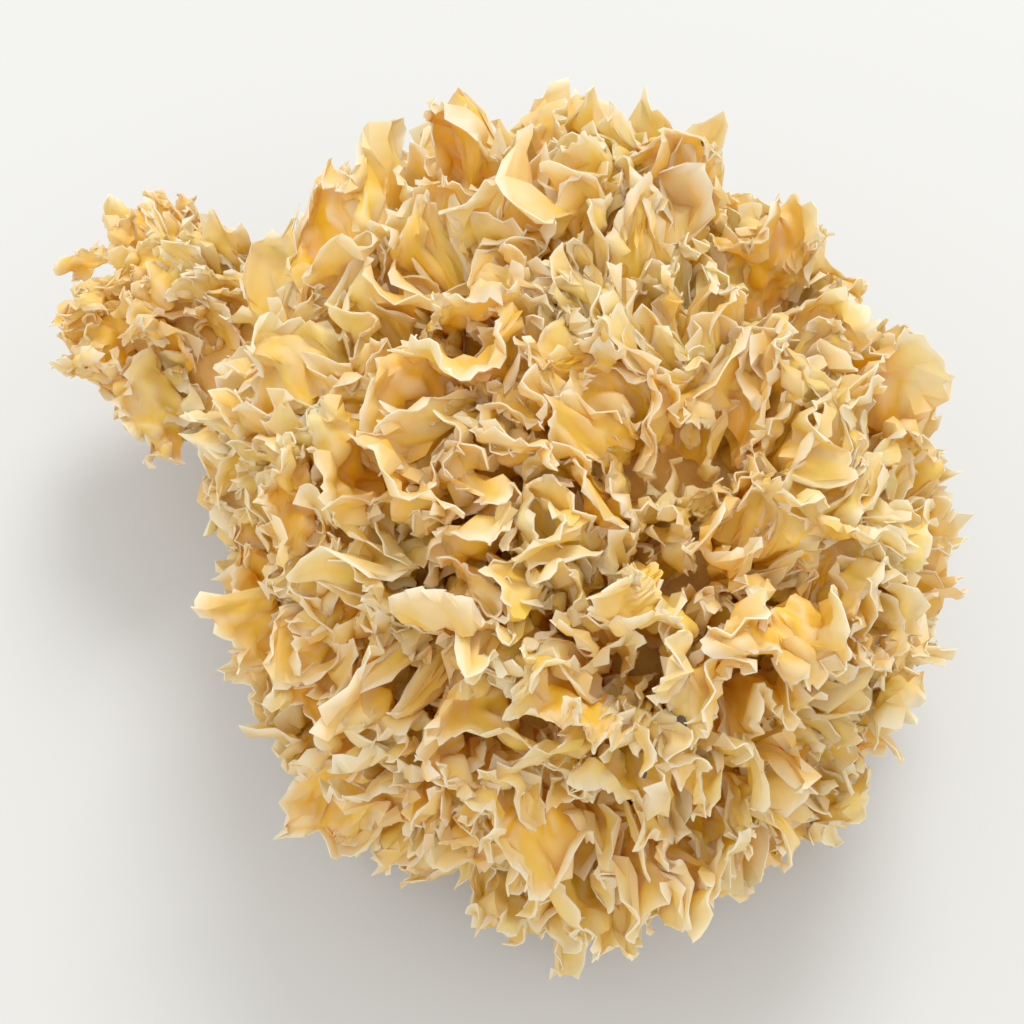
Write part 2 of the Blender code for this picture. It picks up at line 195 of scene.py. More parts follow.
# The margin's own detail, in metres: the lengths of its middling and small curls, its round lobes and
# small teeth, the strip that bears the teeth, how far the lobes and teeth sway, and how far its pale
# colour reaches. As shares: the steepest slope that the curls reach, how far the corners drop at most
# and for a narrow frond, how much thinner the margin is, and how the rows crowd towards it
marginShape = {
    "curlLengths": (0.0075, 0.0038),
    "steepest": 2.0,
    "lobeWidth": 0.0034,
    "lobeDepth": 0.0014,
    "toothWidth": 0.0010,
    "toothDepth": 0.0007,
    "strip": 0.0009,
    "sway": 0.001,
    "paleReach": 0.0006,
    "cornerDrop": 0.65,
    "narrowDrop": 0.5,
    "thinner": 0.35,
    "rowPower": 0.65,
}

# How a frond's cross-line swings: the powers by which its wide waves and its middling and small curls
# grow towards the margin, the least strength of the curls and what is added to it in places, how far
# they slant, and the share of its flat width that a curled margin keeps at least
ruffleShape = {
    "growth": (1.3, 1.6, 3),
    "middling": (0.50, 0.90),
    "small": (0.35, 1.05),
    "slant": 0.10,
    "narrowest": 0.5,
}

# How the lengthwise bend differs across a frond: how often it varies, how often and how strongly it
# varies with the curls, and the share of its chord's angle by which the frond is turned back
bendShape = {"curls": 0.8, "smallCurls": 2.1, "smallCurl": 0.55, "turnedBack": 0.8}

# The tissue's tones: how far below the margin it runs from cream to amber, partly its own tone and partly
# painted shade of the lower parts, how stained it is on the whole, from what height, in units of their
# spread, the fine crumples show as creases, and the width of its pale pleats, how far they sway, their
# strength and what is taken off it
toneShape = {
    "goldenReach": 0.016,
    "stain": 0.4,
    "creaseFrom": 0.8,
    "pleatWidth": 0.0024,
    "pleatSway": 0.0006,
    "pleatStrength": 1.4,
    "pleatLoss": 0.1,
}

# Waves through space that crumple everything alike: how many, the longest, how far they shift, and the
# seed. The first set is the large forms' own, drawn with them
crumpleSets = {
    "large": {"count": 14, "longest": 0.034, "amount": 0.0009},
    "middle": {"count": 18, "longest": 0.012, "amount": 0.00052, "seed": 4},
    "fine": {"count": 24, "longest": 0.0050, "amount": 0.00020, "seed": 5},
    "stain": {"count": 16, "longest": 0.024, "amount": 0.20, "seed": 6},
}

# How near to straight creased waves are between their crests, from 0 to 1
creaseSharpness = 0.97

# Where the tissue is stained more, or less for a height below 0: azimuth and elevation from the head's
# middle, height, width
stainPlaces = ((255, 79, 0.60, 26), (310, 20, 0.25, 20), (165, 0, -0.35, 35))

# The angle between faces, in degrees, above which the edge between them isn't smoothed
sharpAngle = 65


def unit(vectors):
    return vectors / np.linalg.norm(vectors, axis=-1, keepdims=True)


# The direction at an azimuth and elevation in degrees
def heading(azimuth, elevation):
    a, e = np.radians(azimuth), np.radians(elevation)
    return np.stack([np.sin(a) * np.cos(e), np.cos(a) * np.cos(e), np.sin(e)], -1)


# How far an egg's surface is from its middle: one over the length of the direction in half sizes
def eggReach(directions, halfSize):
    return 1 / np.sqrt(((directions / np.array(halfSize)) ** 2).sum(-1))


# The sum of bells round directions, each an azimuth, an elevation, a height and a width in degrees
def bells(directions, places):
    total = 0
    for azimuth, elevation, height, width in places:
        offCentre = 1 - directions @ heading(azimuth, elevation)
        total = total + height * np.exp(-offCentre / (1 - np.cos(np.radians(width))))
    return total


# The head's reach: the egg's, times one plus a bell for each swell
def headReach(directions, swells=headShape["swells"]):
    return eggReach(directions, headShape["halfSize"]) * (1 + bells(directions, swells))


def lobeReach(directions):
    return eggReach(directions, lobeShape["halfSize"])


# Directions spread evenly from the axis down: each turns by the golden angle and drops by one step
def goldenSpiral(count, axis, crowding=1.0):
    step = np.arange(count) + 0.5
    z = 1 - 2 * (step / count) ** crowding
    ring = np.sqrt(1 - z * z)
    turn = step * np.pi * (3 - np.sqrt(5))
    side = unit(np.cross([0, 1, 0], axis))
    axes = np.stack([side, np.cross(axis, side), axis])
    return np.stack([ring * np.cos(turn), ring * np.sin(turn), z], -1) @ axes


# How far back from each point, against outward, an egg's surface or its nearest place lies: the
# smaller root of the quadratic for a line through a ball, in half sizes
def wayToEgg(points, outward, middle, halfSize):
    start, step = (points - np.array(middle)) / np.array(halfSize), -outward / np.array(halfSize)
    a = (step * step).sum(-1)
    b = (start * step).sum(-1)
    c = (start * start).sum(-1) - 1
    return (-b - np.sqrt(np.maximum(b * b - a * c, 0))) / a


# The centre line of a strip of length 1 whose slope at t is first * t + second * t squared, summed at
# five places
def stripBend(along, first, second):
    places = 0.5 + 0.5 * np.array([-0.9062, -0.5385, 0.0, 0.5385, 0.9062])
    weights = 0.5 * np.array([0.2369, 0.4786, 0.5689, 0.4786, 0.2369])
    sideways, onward = 0, 0
    for place, weight in zip(places, weights):
        slope = first * along * place + second * (along * place) ** 2
        sideways = sideways + weight * np.sin(slope)
        onward = onward + weight * np.cos(slope)
    return along * sideways, along * onward


# Each frond's widthwise direction: round the axis, then turned about the frond's own length
def turnedAcross(outward, axis, turn):
    across = unit(np.cross(axis, outward))
    return across * np.cos(turn)[:, None] + np.cross(outward, across) * np.sin(turn)[:, None]


# The shape values of the fronds that end at tips, one array for each value
def frondTable(tips, growth, axis, scale, draw):
    count, spread = len(tips), frondSpread
    tips[:, 2] = np.maximum(tips[:, 2], spread["lowestTip"] + spread["tipMargin"])
    outward = unit(tips - np.array(growth) + draw.normal(size=(count, 3)) * spread["aim"] * scale)
    across = turnedAcross(outward, axis, draw.normal(size=count) * spread["turn"])
    table = {"tip": tips, "outward": outward, "across": across}
    for name, wanted in frondRanges.items():
        even = isinstance(wanted, tuple)
        table[name] = draw.uniform(*wanted, count) if even else draw.normal(size=count) * wanted
    table["rootWidth"] *= scale
    table["secondBend"] *= -1
    return table


# Head fronds are as long as the way back to the heart and a little into it
def headLengths(table, shortest, longest):
    way = wayToEgg(table["tip"], table["outward"], headShape["heartMiddle"], headShape["heartHalfSize"])
    return np.clip(way + frondSpread["rootDepth"], shortest, longest)


# The table of the broad sheets, whose places are listed
def broadTable(axis, draw):
    values = np.array(broadSheets, float).T
    azimuth, elevation, share, width, turn, lean, waves, fold, phase = values
    directions = heading(azimuth, elevation)
    tips = np.array(headShape["middle"]) + directions * (headReach(directions) * share)[:, None]
    table = frondTable(tips, headShape["growthPoint"], axis, 1.0, draw)
    table["outward"] = unit(tips - np.array(headShape["growthPoint"]))
    table["across"] = turnedAcross(table["outward"], axis, np.radians(turn))
    table["height"] = headLengths(table, frondSpread["shortest"], frondSpread["longest"])
    table["halfAngle"] = width / 2000 / (table["rootWidth"] + table["height"])
    first, second = frondSpread["broadBends"]
    table["firstBend"], table["secondBend"] = first * np.radians(lean), second * np.radians(lean)
    table["curl"] *= frondSpread["broadCurl"]
    table.update(waves=waves, fold=fold, phase=phase)
    return table


# Fronds spread evenly over the head where the broad sheets leave room, each drawn a few times. Those
# near the axis stand up more, and those of the skirt arch more and are wider
def headTable(broad, axis, draw):
    spread = frondSpread
    directions = goldenSpiral(spread["headCount"], axis, spread["crowding"])
    directions = unit(directions + draw.normal(size=directions.shape) * spread["scatter"])
    middle = np.array(headShape["middle"])
    tips = middle + directions * headReach(directions)[:, None]
    between = np.linalg.norm(tips[:, None] - broad["tip"], axis=-1).min(1)
    directions = directions[(directions[:, 2] > spread["lowest"]) & (between > spread["clearance"])]
    directions = np.tile(directions, (spread["draws"], 1))
    reach = headReach(directions) * draw.uniform(*spread["reach"], len(directions))
    table = frondTable(middle + directions * reach[:, None], headShape["growthPoint"], axis, 1.0, draw)
    table["height"] = headLengths(table, spread["shortest"], spread["longest"])
    towardsAxis = directions @ axis
    table["secondBend"] += np.where(towardsAxis > spread["crown"], spread["crownUpright"], 0.0)
    table["secondBend"] += np.where(towardsAxis < spread["skirt"], spread["skirtArch"], 0.0)
    table["halfAngle"] *= np.where(towardsAxis < spread["skirt"], spread["skirtWidening"], 1.0)
    return table


# Smaller fronds over the outer side of the side lobe, each drawn a few times
def lobeTable(draw):
    spread = frondSpread
    middle = np.array(lobeShape["middle"])
    outer = unit(middle - np.array(headShape["growthPoint"]))
    directions = goldenSpiral(spread["lobeSpread"], outer)[: spread["lobeCount"]]
    directions = np.tile(directions, (spread["draws"], 1))
    tips = middle + directions * lobeReach(directions)[:, None]
    axis = heading(*lobeShape["rosette"])
    table = frondTable(tips, lobeShape["growthPoint"], axis, spread["lobeScale"], draw)
    way = wayToEgg(table["tip"], table["outward"], middle, lobeShape["heartHalfSize"])
    table["height"] = np.clip(way + spread["rootDepth"], spread["lobeShortest"], spread["lobeLongest"])
    return table


# A sine that repeats at every whole number
def wave(cycles):
    return np.sin(2 * np.pi * cycles)


# The running total of slopes across a frond, read at its columns and centred
def runAlong(slopes, columns):
    fineSteps = frondSpread["fineSteps"]
    steps = (slopes[..., 1:] + slopes[..., :-1]) / 2 / (columns * fineSteps)
    start = np.zeros(steps.shape[:-1] + (1,))
    total = np.concatenate([start, np.cumsum(steps, -1)], -1)[..., ::fineSteps]
    return total - total.mean(-1, keepdims=True)


# How far each point lies across its frond and off it, for a width of 1. The cross-line's slope swings
# as a sine that grows towards the margin, and two shorter sines ride on it, each strong where the
# other is weak, so that the margin's curls come in different sizes. The slope levels off, as a
# hyperbolic tangent, before a curl would close on itself. Here and below, odd multiples of the frond's
# own number start its sines at different places
def ruffle(value, v, u, columns, curls):
    shape = ruffleShape
    wideGrowth, middlingGrowth, smallGrowth = shape["growth"]
    swing = value["fold"] * v**wideGrowth * wave(value["waves"] * u + value["phase"])
    if curls:
        own, steepest = value["own"], marginShape["steepest"]
        share = 0.5 + 0.5 * wave(1.3 * u + 7.7 * own)
        slant = shape["slant"] * wave(0.9 * v + 3.3 * own)
        many, more = (value["marginWidth"] / length for length in marginShape["curlLengths"])
        middling = wave(many * (u + slant) + 3.1 * own)
        small = wave(more * (u - slant) + 5.7 * own + 0.8 * share)
        least, added = shape["middling"]
        swing = swing + curls[0] * v**middlingGrowth * (least + added * share) * middling
        least, added = shape["small"]
        swing = swing + curls[1] * v**smallGrowth * (least + added * (1 - share)) * small
        swing = steepest * np.tanh(swing / steepest)
    across, off = runAlong(np.cos(swing), columns), runAlong(np.sin(swing), columns)
    places = u[..., :: frondSpread["fineSteps"]] - 0.5
    drift = (off * places).sum(-1, keepdims=True) / (places**2).sum()
    width = across[..., -1:] - across[..., :1]
    if curls:
        width = np.maximum(width, shape["narrowest"])
    return across / width, (off - drift * places) / width


# How much of its length a frond has at each point: round corners, flatter on a narrow frond, and a few
# wide notches. With detail, the upper half also has round lobes, each half a sine wide, and the last
# strip has uneven teeth
def frondOutline(value, v, u, detail):
    shape = marginShape
    drop = shape["cornerDrop"]
    if detail:
        drop = np.minimum(drop, shape["narrowDrop"] * value["marginWidth"] / value["height"])
    corners = 1 - drop + drop * np.sqrt(1 - np.abs(2 * u - 1) ** 3)
    notches = wave(value["notches"] * u + value["notchPhase"])
    outline = v * (1 - value["notch"] * (0.5 + 0.5 * notches) * v**2) * (1 + v * (corners - 1))
    if detail:
        own = value["own"]
        place = u * value["marginWidth"] + shape["sway"] * wave(2.3 * u + 4.1 * own)
        lobes = 1 - np.abs(np.sin(np.pi * (place / shape["lobeWidth"] + 9.1 * own)))
        outline = outline - shape["lobeDepth"] / value["height"] * lobes * np.clip(2 * v - 1, 0, 1) ** 2
        teeth = place / shape["toothWidth"]
        nick = wave(teeth + 4.4 * own) * wave(teeth * 0.37 + 6.3 * own)
        inStrip = np.clip(1 - (1 - v) * value["height"] / shape["strip"], 0, 1)
        outline = outline + shape["toothDepth"] / value["height"] * (nick - 0.5) * inStrip
    return outline


# The middle surface of every frond, as points [frond, row, column, xyz]. A frond is a ruffled fan,
# bent over lengthwise with a slope of first * t + second * t squared, and turned back by most of its
# chord's angle, so that its margin stays near its tip's place
def frondPoints(table, v, columns, curls=None):
    value = {name: column[:, None, None] for name, column in table.items() if column.ndim == 1}
    value["marginWidth"] = 2 * value["halfAngle"] * (value["rootWidth"] + value["height"])
    u = np.linspace(0, 1, columns * frondSpread["fineSteps"] + 1)[None, None, :]
    across, off = ruffle(value, v, u, columns, curls)
    u = u[..., :: frondSpread["fineSteps"]]
    height, spread = value["height"], 2 * value["halfAngle"]
    radius = value["rootWidth"] + height * frondOutline(value, v, u, curls)
    x = radius * np.sin(spread * across)
    y = radius * spread * off
    t = (radius - value["rootWidth"]) * np.cos(spread * across) / height
    shape = bendShape
    curl = value["curl"] * wave(shape["curls"] * u + value["curlPhase"])
    if curls:
        curl = curl + shape["smallCurl"] * curls[0] * v * wave(shape["smallCurls"] * u + 6.3 * value["own"])
    first, second = value["firstBend"], value["secondBend"] + curl
    slope = first * t + second * t * t
    sideways, onward = stripBend(t, first, second)
    y, z = height * sideways + y * np.cos(slope), height * onward - y * np.sin(slope)
    tipSideways, tipOnward = stripBend(np.ones_like(height), first, value["secondBend"])
    chord = shape["turnedBack"] * np.arctan2(tipSideways, tipOnward)
    y, z = y * np.cos(chord) - z * np.sin(chord), y * np.sin(chord) + z * np.cos(chord)
    outward, sidelong = table["outward"], table["across"]
    root = table["tip"] - outward * table["height"][:, None]
    axes = np.stack([sidelong, np.cross(outward, sidelong), outward], 1)
    return root[:, None, None, :] + np.einsum("frcl,fld->frcd", np.stack([x, y, z], -1), axes)


# The rows of the plain fronds that the choice between draws looks at
def plainRows(table):
    start = (frondSpread["rootLength"] / table["height"])[:, None, None]
    return np.concatenate([0 * start, start, (1 + start) / 2, np.ones_like(start)], 1)


# The plain fronds of a table as rows of points, crumpled
def crumpledRows(table, waves):
    points = frondPoints(table, plainRows(table), frondSpread["columns"])
    return points + crumple(points, waves)


# Waves through space: each has a direction over its length, a start, and a shift
def crumpleWaves(which, draw):
    shape = (which["count"], 3)
    lengths = draw.uniform(which["longest"] / 2, which["longest"], which["count"])
    ways = unit(draw.normal(size=shape)) * (2 * np.pi / lengths)[:, None]
    starts = draw.uniform(0, 2 * np.pi, which["count"])
    return ways.T, starts, unit(draw.normal(size=shape)) * which["amount"]


# How far the waves shift each point, as the sum of their sines, so that neighbours move together.
# Creased waves are straight between their crests, which folds a sheet as paper is folded
def crumple(points, waves, creased=False):
    ways, starts, shifts = waves
    shift = np.sin(points @ ways + starts)
    if creased:
        shift = np.arcsin(creaseSharpness * shift) * 2 / np.pi
    return shift @ shifts


# Points kept off the table: low ones are eased up, as the exponential of how low they are
def lifted(points):
    lowest, z = frondSpread["lowestTip"], points[..., 2]
    eased = lowest * np.exp(np.minimum(z - lowest, 0) / frondSpread["liftLength"])
    return np.concatenate([points[..., :2], np.maximum(z, eased)[..., None]], -1)


# For each frond the draw whose upper half comes least near the fronds chosen before it: nearness is
# the sum over pairs of points of the exponential of minus their distance squared
def leastCrowded(grids, taken):
    def upperPoints(grids):
        rows = np.stack([grids[:, -2], (grids[:, -2] + grids[:, -1]) / 2, grids[:, -1]], 1)
        return rows.reshape(len(grids), -1, 3)

    count = len(grids) // frondSpread["draws"]
    points = upperPoints(grids)
    taken = list(upperPoints(taken))
    chosen = []
    for frond in range(count):
        near = np.concatenate(taken)
        nearness = []
        for drawn in points[frond::count]:
            squares = (drawn**2).sum(-1)[:, None] + (near**2).sum(-1) - 2 * drawn @ near.T
            nearness.append(np.exp(-squares / frondSpread["crowded"] ** 2).sum())
        best = frond + count * int(np.argmin(nearness))
        taken.append(points[best])
        chosen.append(best)
    return chosen


# The table of some of the fronds, and below the table of all the fronds of some tables
def picked(table, which):
    return {name: column[which] for name, column in table.items()}


# The tables of the broad sheets, the head's fronds and the side lobe's, with the large crumple waves
def chosenFronds():
    draw = np.random.default_rng(frondSpread["seed"])
    axis = heading(*headShape["rosette"])
    waves = crumpleWaves(crumpleSets["large"], draw)
    broad = broadTable(axis, draw)
    tables = [broad]
    taken = crumpledRows(broad, waves)
    for table in (headTable(broad, axis, draw), lobeTable(draw)):
        drawn = crumpledRows(table, waves)
        best = leastCrowded(drawn, taken)
        taken = np.concatenate([taken, drawn[best]])
        tables.append(picked(table, best))
    return tables, waves


# Narrower frills that stand between the larger fronds, a little lower
def headFrills(axis, draw):
    look = frillLook
    directions = goldenSpiral(look["headCount"], axis)
    directions = unit(directions + draw.normal(size=directions.shape) * look["scatter"])
    directions = directions[directions[:, 2] > look["headLowest"]]
    reach = headReach(directions, look["headSwells"]) * draw.uniform(*look["headReach"], len(directions))
    tips = np.array(headShape["middle"]) + directions * reach[:, None]
    table = frondTable(tips, headShape["growthPoint"], axis, look["scale"], draw)
    table["height"] = headLengths(table, *look["headLength"])
    table["halfAngle"] = draw.uniform(*look["headHalfAngle"], len(tips))
    return table


# Frills over the side lobe
def lobeFrills(draw):
    look = frillLook
    middle = np.array(lobeShape["middle"])
    directions = goldenSpiral(look["lobeCount"], unit(middle - np.array(headShape["growthPoint"])))
    directions = unit(directions + draw.normal(size=directions.shape) * look["scatter"])
    reach = lobeReach(directions) * draw.uniform(*look["lobeReach"], len(directions))
    tips = middle + directions * reach[:, None]
    axis = heading(*lobeShape["rosette"])
    table = frondTable(tips, lobeShape["growthPoint"], axis, look["sideScale"], draw)
    table["height"] = draw.uniform(*look["lobeLength"], len(tips))
    table["halfAngle"] = draw.uniform(*look["lobeHalfAngle"], len(tips))
    return table


# Frills round the stem: places along it, each with a direction square to it, by the golden angle
def stemFrills(draw):
    look = frillLook
    start, end = np.array(lobeShape["stemStart"]), np.array(lobeShape["middle"])
    along = unit(end - start)
    side = unit(np.cross(along, [0, 0, 1]))
    step = np.arange(look["stemCount"])
    turn = step * np.pi * (3 - np.sqrt(5))
    around = side * np.cos(turn)[:, None] + np.cross(side, along) * np.sin(turn)[:, None]
    share = look["stemFrom"] + look["stemSpan"] * (step + 0.5) / len(step)
    places = start + (end - start) * share[:, None]
    tips = places + around * draw.uniform(*look["stemReach"], len(step))[:, None]
    table = frondTable(tips, places.mean(0), along, look["sideScale"], draw)
    table["outward"] = unit(around + look["stemLean"] * along)
    turn = draw.normal(size=len(step)) * frondSpread["turn"]
    table["across"] = turnedAcross(table["outward"], along, turn)
    table["height"] = draw.uniform(*look["lobeLength"], len(step))
    table["halfAngle"] = draw.uniform(*look["lobeHalfAngle"], len(step))
    return table


def stacked(tables):
    return {name: np.concatenate([table[name] for table in tables]) for name in tables[0]}


# How near each point is to the frond's margin: the exponential of minus its distance to the tip line
# or to a side, whichever is nearer, over the pale margin's reach
def marginNearness(table, v, columns):
    u = np.linspace(0, 1, columns + 1)[None, None, :]
    height, width = table["height"][:, None, None], table["rootWidth"][:, None, None]
    toTip = (1 - v) * height + 0 * u
    toSide = np.minimum(u, 1 - u) * (width + v * height) * 2 * table["halfAngle"][:, None, None]
    return np.exp(-np.minimum(toTip, toSide) / marginShape["paleReach"])


# Pale pleats that run up each frond: two sines across it multiply, and they fade towards its root
def pleats(table, v, columns):
    shape = toneShape
    u = np.linspace(0, 1, columns + 1)[None, None, :]
    own = table["own"][:, None, None]
    place = u * (2 * table["halfAngle"] * (table["rootWidth"] + table["height"]))[:, None, None]
    place = (place + shape["pleatSway"] * wave(1.4 * v + 2.9 * own)) / shape["pleatWidth"]
    both = wave(place + 3.7 * own) * wave(place * 0.41 + 8.3 * own)
    return np.clip(shape["pleatStrength"] * both - shape["pleatLoss"], 0, 1) * v


# The sheet's normal at each point, square to its steps across and up
def sheetNormals(grid):
    return unit(np.cross(np.gradient(grid, axis=2), np.gradient(grid, axis=1)) + 1e-15)


# Two triangles for each quad
def halved(quads):
    return np.concatenate([quads[:, [0, 1, 2]], quads[:, [0, 2, 3]]])


# How deep the tissue lies in the folds, from 0 at the first share of the reach to 1 at the second, and
# the painted shade that depth gives: what it adds to the stain, painting the folds darker amber, and
# what it takes from the pale margins and creases
foldShadeLook = {"reaches": (0.97, 0.68), "stain": 0.45, "paleLostToShade": 0.75}


# How deep points lie in the folds of the head or the side lobe, whichever they lie further inside,
# which sets how much painted shade they get
def foldShade(points):
    share = np.inf
    for middle, reach in ((headShape["middle"], headReach), (lobeShape["middle"], lobeReach)):
        offset = points - np.array(middle)
        distance = np.linalg.norm(offset, axis=-1)
        share = np.minimum(share, distance / reach(offset / distance[..., None]))
    shallow, deep = foldShadeLook["reaches"]
    return np.clip((shallow - share) / (shallow - deep), 0, 1)


# A closed thin sheet for each frond: the middle surface pushed out along its normal to both sides, by
# half the thickness, which is less at the margin. The margin keeps every column and the rows below it
# every second one. Returns the points, the marks alike for both sides, and triangles
def sheetFaces(grid, marks, thickness):
    half = (thickness / 2 * (1 - marginShape["thinner"] * marks[..., :1])) * sheetNormals(grid)
    sides = np.stack([grid + half, grid - half], 1)
    marks = np.stack([marks, marks], 1)
    fronds, rows, columns = len(grid), grid.shape[1] - 1, (grid.shape[2] + 1) // 2

    def kept(values):
        body = values[:, :, :-1, ::2].reshape(-1, values.shape[-1])
        return np.concatenate([body, values[:, :, -1].reshape(-1, values.shape[-1])])

    body = np.arange(fronds * 2 * rows * columns).reshape(fronds, 2, rows, columns)
    margin = body.size + np.arange(fronds * 2 * grid.shape[2]).reshape(fronds, 2, -1)

    def strip(first, second):
        corners = [first[:, :-1], second[:, :-1], second[:, 1:], first[:, 1:]]
        return np.stack(corners, -1).reshape(-1, 4)

    triangles = []
    for side, turned in ((0, [0, 1, 2]), (1, [0, 2, 1])):
        rows, edge = body[:, side], margin[:, side]
        squares = [rows[:, :-1, :-1], rows[:, :-1, 1:], rows[:, 1:, 1:], rows[:, 1:, :-1]]
        triangles.append(halved(np.stack(squares, -1).reshape(-1, 4))[:, turned])
        left, right = rows[:, -1, :-1], rows[:, -1, 1:]
        first, middle, last = edge[:, :-2:2], edge[:, 1:-1:2], edge[:, 2::2]
        for corners in ((left, right, middle), (left, middle, first), (right, last, middle)):
            triangles.append(np.stack(corners, -1).reshape(-1, 3)[:, turned])
    a, b = body[:, 0], body[:, 1]
    starts = [np.concatenate([s[:, :, 0], margin[:, k, :1]], 1) for k, s in enumerate((a, b))]
    ends = [np.concatenate([s[:, :, -1], margin[:, k, -1:]], 1) for k, s in enumerate((a, b))]
    rims = [
        strip(a[:, 0], b[:, 0]),
        strip(margin[:, 1], margin[:, 0]),
        strip(starts[1], starts[0]),
        strip(ends[0], ends[1]),
    ]
    return kept(sides), kept(marks), np.concatenate(triangles + [halved(np.concatenate(rims))])


# A mesh object from points and triangles, smooth but for its sharp edges, with the maps that its finish
# follows: frondMap is how near the margin a point is and how far up its frond, and toneMap is how
# stained it is, painted shade deep in the folds included, and how creased
def meshPiece(name, points, triangles, marks, material):
    mesh = bpy.data.meshes.new(name)
    mesh.vertices.add(len(points))
    mesh.vertices.foreach_set("co", points.astype(np.float32).ravel())
    mesh.loops.add(triangles.size)
    mesh.loops.foreach_set("vertex_index", triangles.ravel().astype(np.int32))
    mesh.polygons.add(len(triangles))
    mesh.polygons.foreach_set("loop_start", np.arange(0, triangles.size, 3, dtype=np.int32))
    mesh.update(calc_edges=True)
    for title, columns in (("frondMap", marks[:, :2]), ("toneMap", marks[:, 2:])):
        layer = mesh.uv_layers.new(name=title)
        layer.data.foreach_set("uv", columns[triangles.ravel()].astype(np.float32).ravel())
    mesh.set_sharp_from_angle(angle=math.radians(sharpAngle))
    mesh.materials.append(material)
    piece = bpy.data.objects.new(name, mesh)
    bpy.context.scene.collection.objects.link(piece)
    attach(piece, "root")
    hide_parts("fruit_body")
    return piece


# Fronds as one piece: worked out finely from half a root's length up, or from where they show, crumpled
# by the first two sets of waves, pushed to and fro along their normals by the third, kept off the
# table, and stained by the last, with painted shade added to the stain deep in the folds
def frondPiece(name, table, look, waves, material):
    start = np.maximum(0.5 * frondSpread["rootLength"] / table["height"], look["start"])[:, None, None]
    belowStrip = 1 - marginShape["strip"] / table["height"][:, None, None]
    rows = np.linspace(0, 1, look["rows"])[None, :, None] ** marginShape["rowPower"]
    v = start + (belowStrip - start) * rows
    v = np.concatenate([v, np.ones_like(start)], 1)
    columns = 2 * look["columns"]
    grid = frondPoints(table, v, columns, look["curls"])
    grid = grid + crumple(grid, waves[0])
    grid = grid + crumple(grid, waves[1], creased=True)
    height = crumple(grid, waves[2], creased=True).sum(-1)
    grid = lifted(grid + sheetNormals(grid) * height[..., None])
    nearness = marginNearness(table, v, columns)
    # Painted shade: tissue deep in the folds gets more amber stain and loses its pale margin and creases
    shadeDepth = foldShade(grid)
    paleLeftInShade = 1 - foldShadeLook["paleLostToShade"] * shadeDepth
    # The stain is real stain from the last waves and the stain places, plus the painted shade of the folds
    stain = toneShape["stain"] + crumple(grid, waves[3]).sum(-1) + foldShadeLook["stain"] * shadeDepth
    stain = stain + bells(unit(grid - np.array(headShape["middle"])), stainPlaces)
    crease = np.clip(np.abs(height) / height.std() - toneShape["creaseFrom"], 0, 1)
    crease = np.maximum(crease, pleats(table, v, columns))
    # Up the frond the colour runs from amber to cream, partly its own tone and partly painted shade
    upFrond = np.clip(1 - (1 - v) * table["height"][:, None, None] / toneShape["goldenReach"], 0, 1)
    upFrond = upFrond + 0 * nearness
    marks = np.stack([nearness * paleLeftInShade, upFrond, np.clip(stain, 0, 1), crease * paleLeftInShade], -1)
    points, marks, triangles = sheetFaces(grid, marks, look["thickness"])
    print(name, len(grid), "fronds", len(triangles), "triangles")
    meshPiece(name, points, triangles, marks, material)
    return points


# Pieces stay small enough to keep all their triangles, so a table is shared out between some
def sharedOut(name, table, look, waves, material, parts):
    made = []
    for part in range(parts):
        which = np.arange(part, len(table["height"]), parts)
        made.append(frondPiece(f"{name}_{part + 1}", picked(table, which), look, waves, material))
    return made


# Colours are linear. The sheet is pale at its margin and along its creases and golden below, the amber
# low on the frond partly its own tone and partly painted shade, and the stain colour is laid on real
# stains and on the painted shade deep in the folds. Light that has come through it is amber. Sizes are
# in metres. Places say where, from 0 to 1, a value that rises up the frond or in the grain takes on the
# colours or shares
tissueLook = {
    # From deep to top: amber low on the frond to cream near the margin, partly own tone, partly painted shade
    "deep": (0.99, 0.49, 0.015, 1),
    "lower": (0.99, 0.62, 0.04, 1),
    "upper": (0.99, 0.74, 0.12, 1),
    "top": (0.995, 0.84, 0.36, 1),
    "colourPlaces": (0.30, 0.58, 0.82, 1.0),
    "margin": (1.0, 0.94, 0.74, 1),
    # Laid on real stains and also as painted shade deep in the folds
    "stain": (1.0, 0.845, 0.42, 1),
    "mottle": (1.0, 0.95, 0.82, 1),
    "mottlePlaces": (0.36, 0.60),
    "through": (1.0, 0.94, 0.56, 1),
    "throughShare": (0, 0.43),
    "throughPlaces": (0.40, 0.72),
    "creaseShare": 0.38,
    "grainSize": 0.0011,
    "roughness": (0.34, 0.52),
    "roughPlaces": (0.35, 0.65),
    "specular": 0.32,
}

heartLook = {
    "colour": (0.80, 0.40, 0.04, 1),
    "shade": (0.58, 0.24, 0.02, 1),
    "colourPlaces": (0.35, 0.65),
    "roughness": 0.6,
    "patchSize": 0.004,
    "poreSize": 0.0016,
    "poreDepth": 0.0005,
    "poreStrength": 0.6,
    "rings": 40,
    "segments": 72,
    "poleAngle": 0.02,
    "lobeShare": 0.8,
    "stemRings": 12,
}


# A node with some of its sockets set by name
def newNode(material, kind, **values):
    node = material.node_tree.nodes.new(kind)
    for name, value in values.items():
        node.inputs[name.replace("_", " ")].default_value = value
    return node


def wire(material, output, target):
    material.node_tree.links.new(output, target)


# A ramp through colours at places from 0 to 1, read from a number
def colourRamp(material, source, stops):
    node = material.node_tree.nodes.new("ShaderNodeValToRGB")
    ramp = node.color_ramp
    ramp.elements[0].position, ramp.elements[0].color = stops[0]
    ramp.elements[1].position, ramp.elements[1].color = stops[-1]
    for place, colour in stops[1:-1]:
        ramp.elements.new(place).color = colour
    wire(material, source, node.inputs["Fac"])
    return node.outputs["Color"]


